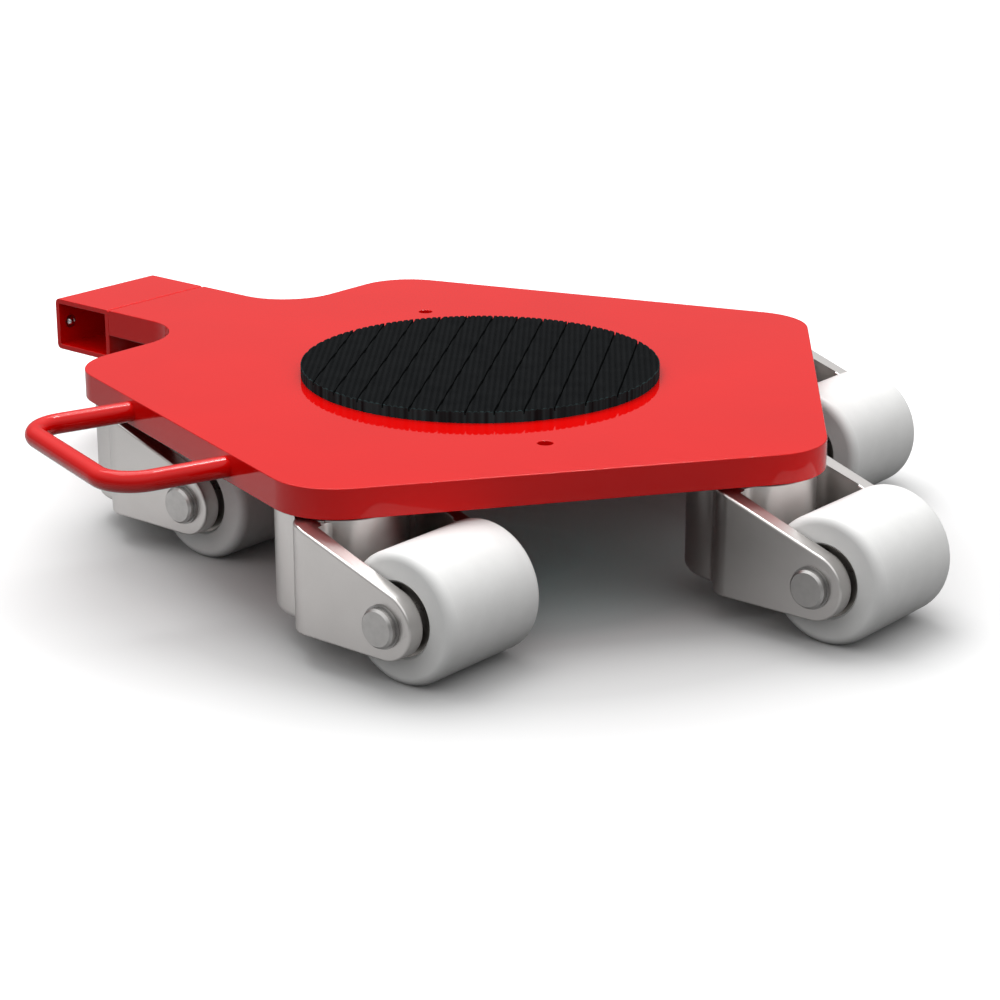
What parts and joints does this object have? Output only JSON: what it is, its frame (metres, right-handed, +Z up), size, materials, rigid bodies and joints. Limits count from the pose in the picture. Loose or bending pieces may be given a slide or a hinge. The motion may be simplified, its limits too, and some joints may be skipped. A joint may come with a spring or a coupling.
{
  "type": "machine skate",
  "caption": "Low steered skate for moving heavy machines: a five-sided deck with a grooved pad on swivel castors, with a drawbar tube and a grab handle.",
  "frame": {"origin": "on the floor under the wheels, below the middle of the skate's box", "axes": "+Z up, +X away from the drawbar tube towards the castor opposite it, +Y away from the grab handle's side"},
  "size_m": [0.75, 0.6, 0.12],
  "materials": {
    "red_paint": "gloss red paint on steel",
    "pad_rubber": "moulded black rubber, fine ribs",
    "bright_steel": "bright plated steel",
    "machined_steel": "turned steel",
    "plated_steel": "zinc plated steel",
    "bearing_steel": "ground bearing steel",
    "satin_casting": "satin nickel-plated cast steel",
    "bearing_brass": "pressed brass",
    "bush_bronze": "sintered bronze",
    "axle_steel": "turned bright steel",
    "black_steel": "blackened spring steel",
    "bearing_shield": "bearing ring with dark shields",
    "white_nylon": "white nylon, lightly turned"
  },
  "bodies": {
    "root": {"deck_plate": "red_paint", "cross_tube": "red_paint", "grab_handle": "red_paint", "load_pad": "pad_rubber", "detent_body": "bright_steel", "detent_spring": "bright_steel", "kingpins": "machined_steel", "kingpin_nuts": "plated_steel", "shaft_washers": "bearing_steel"},
    "detent_pin": {"detent_pin": "bright_steel"},
    "swivel_1": {"bracket_1": "satin_casting", "housing_washer_1": "bearing_steel", "ball_cage_1": "bearing_brass", "swivel_bush_1": "bush_bronze", "axle_1": "axle_steel", "axle_clips_1": "black_steel", "axle_spacers_1": "machined_steel", "inner_rings_1": "bearing_steel"},
    "roller_1": {"outer_rings_1": "bearing_shield", "wheel_1": "white_nylon"},
    "swivel_2": {"bracket_2": "satin_casting", "housing_washer_2": "bearing_steel", "ball_cage_2": "bearing_brass", "swivel_bush_2": "bush_bronze", "axle_2": "axle_steel", "axle_clips_2": "black_steel", "axle_spacers_2": "machined_steel", "inner_rings_2": "bearing_steel"},
    "roller_2": {"outer_rings_2": "bearing_shield", "wheel_2": "white_nylon"},
    "swivel_3": {"bracket_3": "satin_casting", "housing_washer_3": "bearing_steel", "ball_cage_3": "bearing_brass", "swivel_bush_3": "bush_bronze", "axle_3": "axle_steel", "axle_clips_3": "black_steel", "axle_spacers_3": "machined_steel", "inner_rings_3": "bearing_steel"},
    "roller_3": {"outer_rings_3": "bearing_shield", "wheel_3": "white_nylon"},
    "swivel_4": {"bracket_4": "satin_casting", "housing_washer_4": "bearing_steel", "ball_cage_4": "bearing_brass", "swivel_bush_4": "bush_bronze", "axle_4": "axle_steel", "axle_clips_4": "black_steel", "axle_spacers_4": "machined_steel", "inner_rings_4": "bearing_steel"},
    "roller_4": {"outer_rings_4": "bearing_shield", "wheel_4": "white_nylon"},
    "swivel_5": {"bracket_5": "satin_casting", "housing_washer_5": "bearing_steel", "ball_cage_5": "bearing_brass", "swivel_bush_5": "bush_bronze", "axle_5": "axle_steel", "axle_clips_5": "black_steel", "axle_spacers_5": "machined_steel", "inner_rings_5": "bearing_steel"},
    "roller_5": {"outer_rings_5": "bearing_shield", "wheel_5": "white_nylon"}
  },
  "joints": [
    {"name": "detent_slide", "type": "slide", "parent": "root", "child": "detent_pin", "axis": [-1, 0, 0], "range_m": [0, 0.003], "stiffness_N_per_m": 600, "springref_m": -0.002},
    {"name": "swivel_turn_1", "type": "hinge", "parent": "root", "child": "swivel_1", "pos_m": [0.2475, 0.0183, 0.084], "axis": [0, 0, 1], "continuous": true},
    {"name": "wheel_spin_1", "type": "hinge", "parent": "swivel_1", "child": "roller_1", "pos_m": [0.3325, 0.0183, 0.0425], "axis": [0, 1, 0], "continuous": true},
    {"name": "swivel_turn_2", "type": "hinge", "parent": "root", "child": "swivel_2", "pos_m": [0.08857, 0.23704, 0.084], "axis": [0, 0, 1], "continuous": true},
    {"name": "wheel_spin_2", "type": "hinge", "parent": "swivel_2", "child": "roller_2", "pos_m": [0.17357, 0.23704, 0.0425], "axis": [0, 1, 0], "continuous": true},
    {"name": "swivel_turn_3", "type": "hinge", "parent": "root", "child": "swivel_3", "pos_m": [-0.16857, 0.15349, 0.084], "axis": [0, 0, 1], "continuous": true},
    {"name": "wheel_spin_3", "type": "hinge", "parent": "swivel_3", "child": "roller_3", "pos_m": [-0.08357, 0.15349, 0.0425], "axis": [0, 1, 0], "continuous": true},
    {"name": "swivel_turn_4", "type": "hinge", "parent": "root", "child": "swivel_4", "pos_m": [-0.16857, -0.11689, 0.084], "axis": [0, 0, 1], "continuous": true},
    {"name": "wheel_spin_4", "type": "hinge", "parent": "swivel_4", "child": "roller_4", "pos_m": [-0.08357, -0.11689, 0.0425], "axis": [0, 1, 0], "continuous": true},
    {"name": "swivel_turn_5", "type": "hinge", "parent": "root", "child": "swivel_5", "pos_m": [0.08857, -0.20044, 0.084], "axis": [0, 0, 1], "continuous": true},
    {"name": "wheel_spin_5", "type": "hinge", "parent": "swivel_5", "child": "roller_5", "pos_m": [0.17357, -0.20044, 0.0425], "axis": [0, 1, 0], "continuous": true}
  ]
}
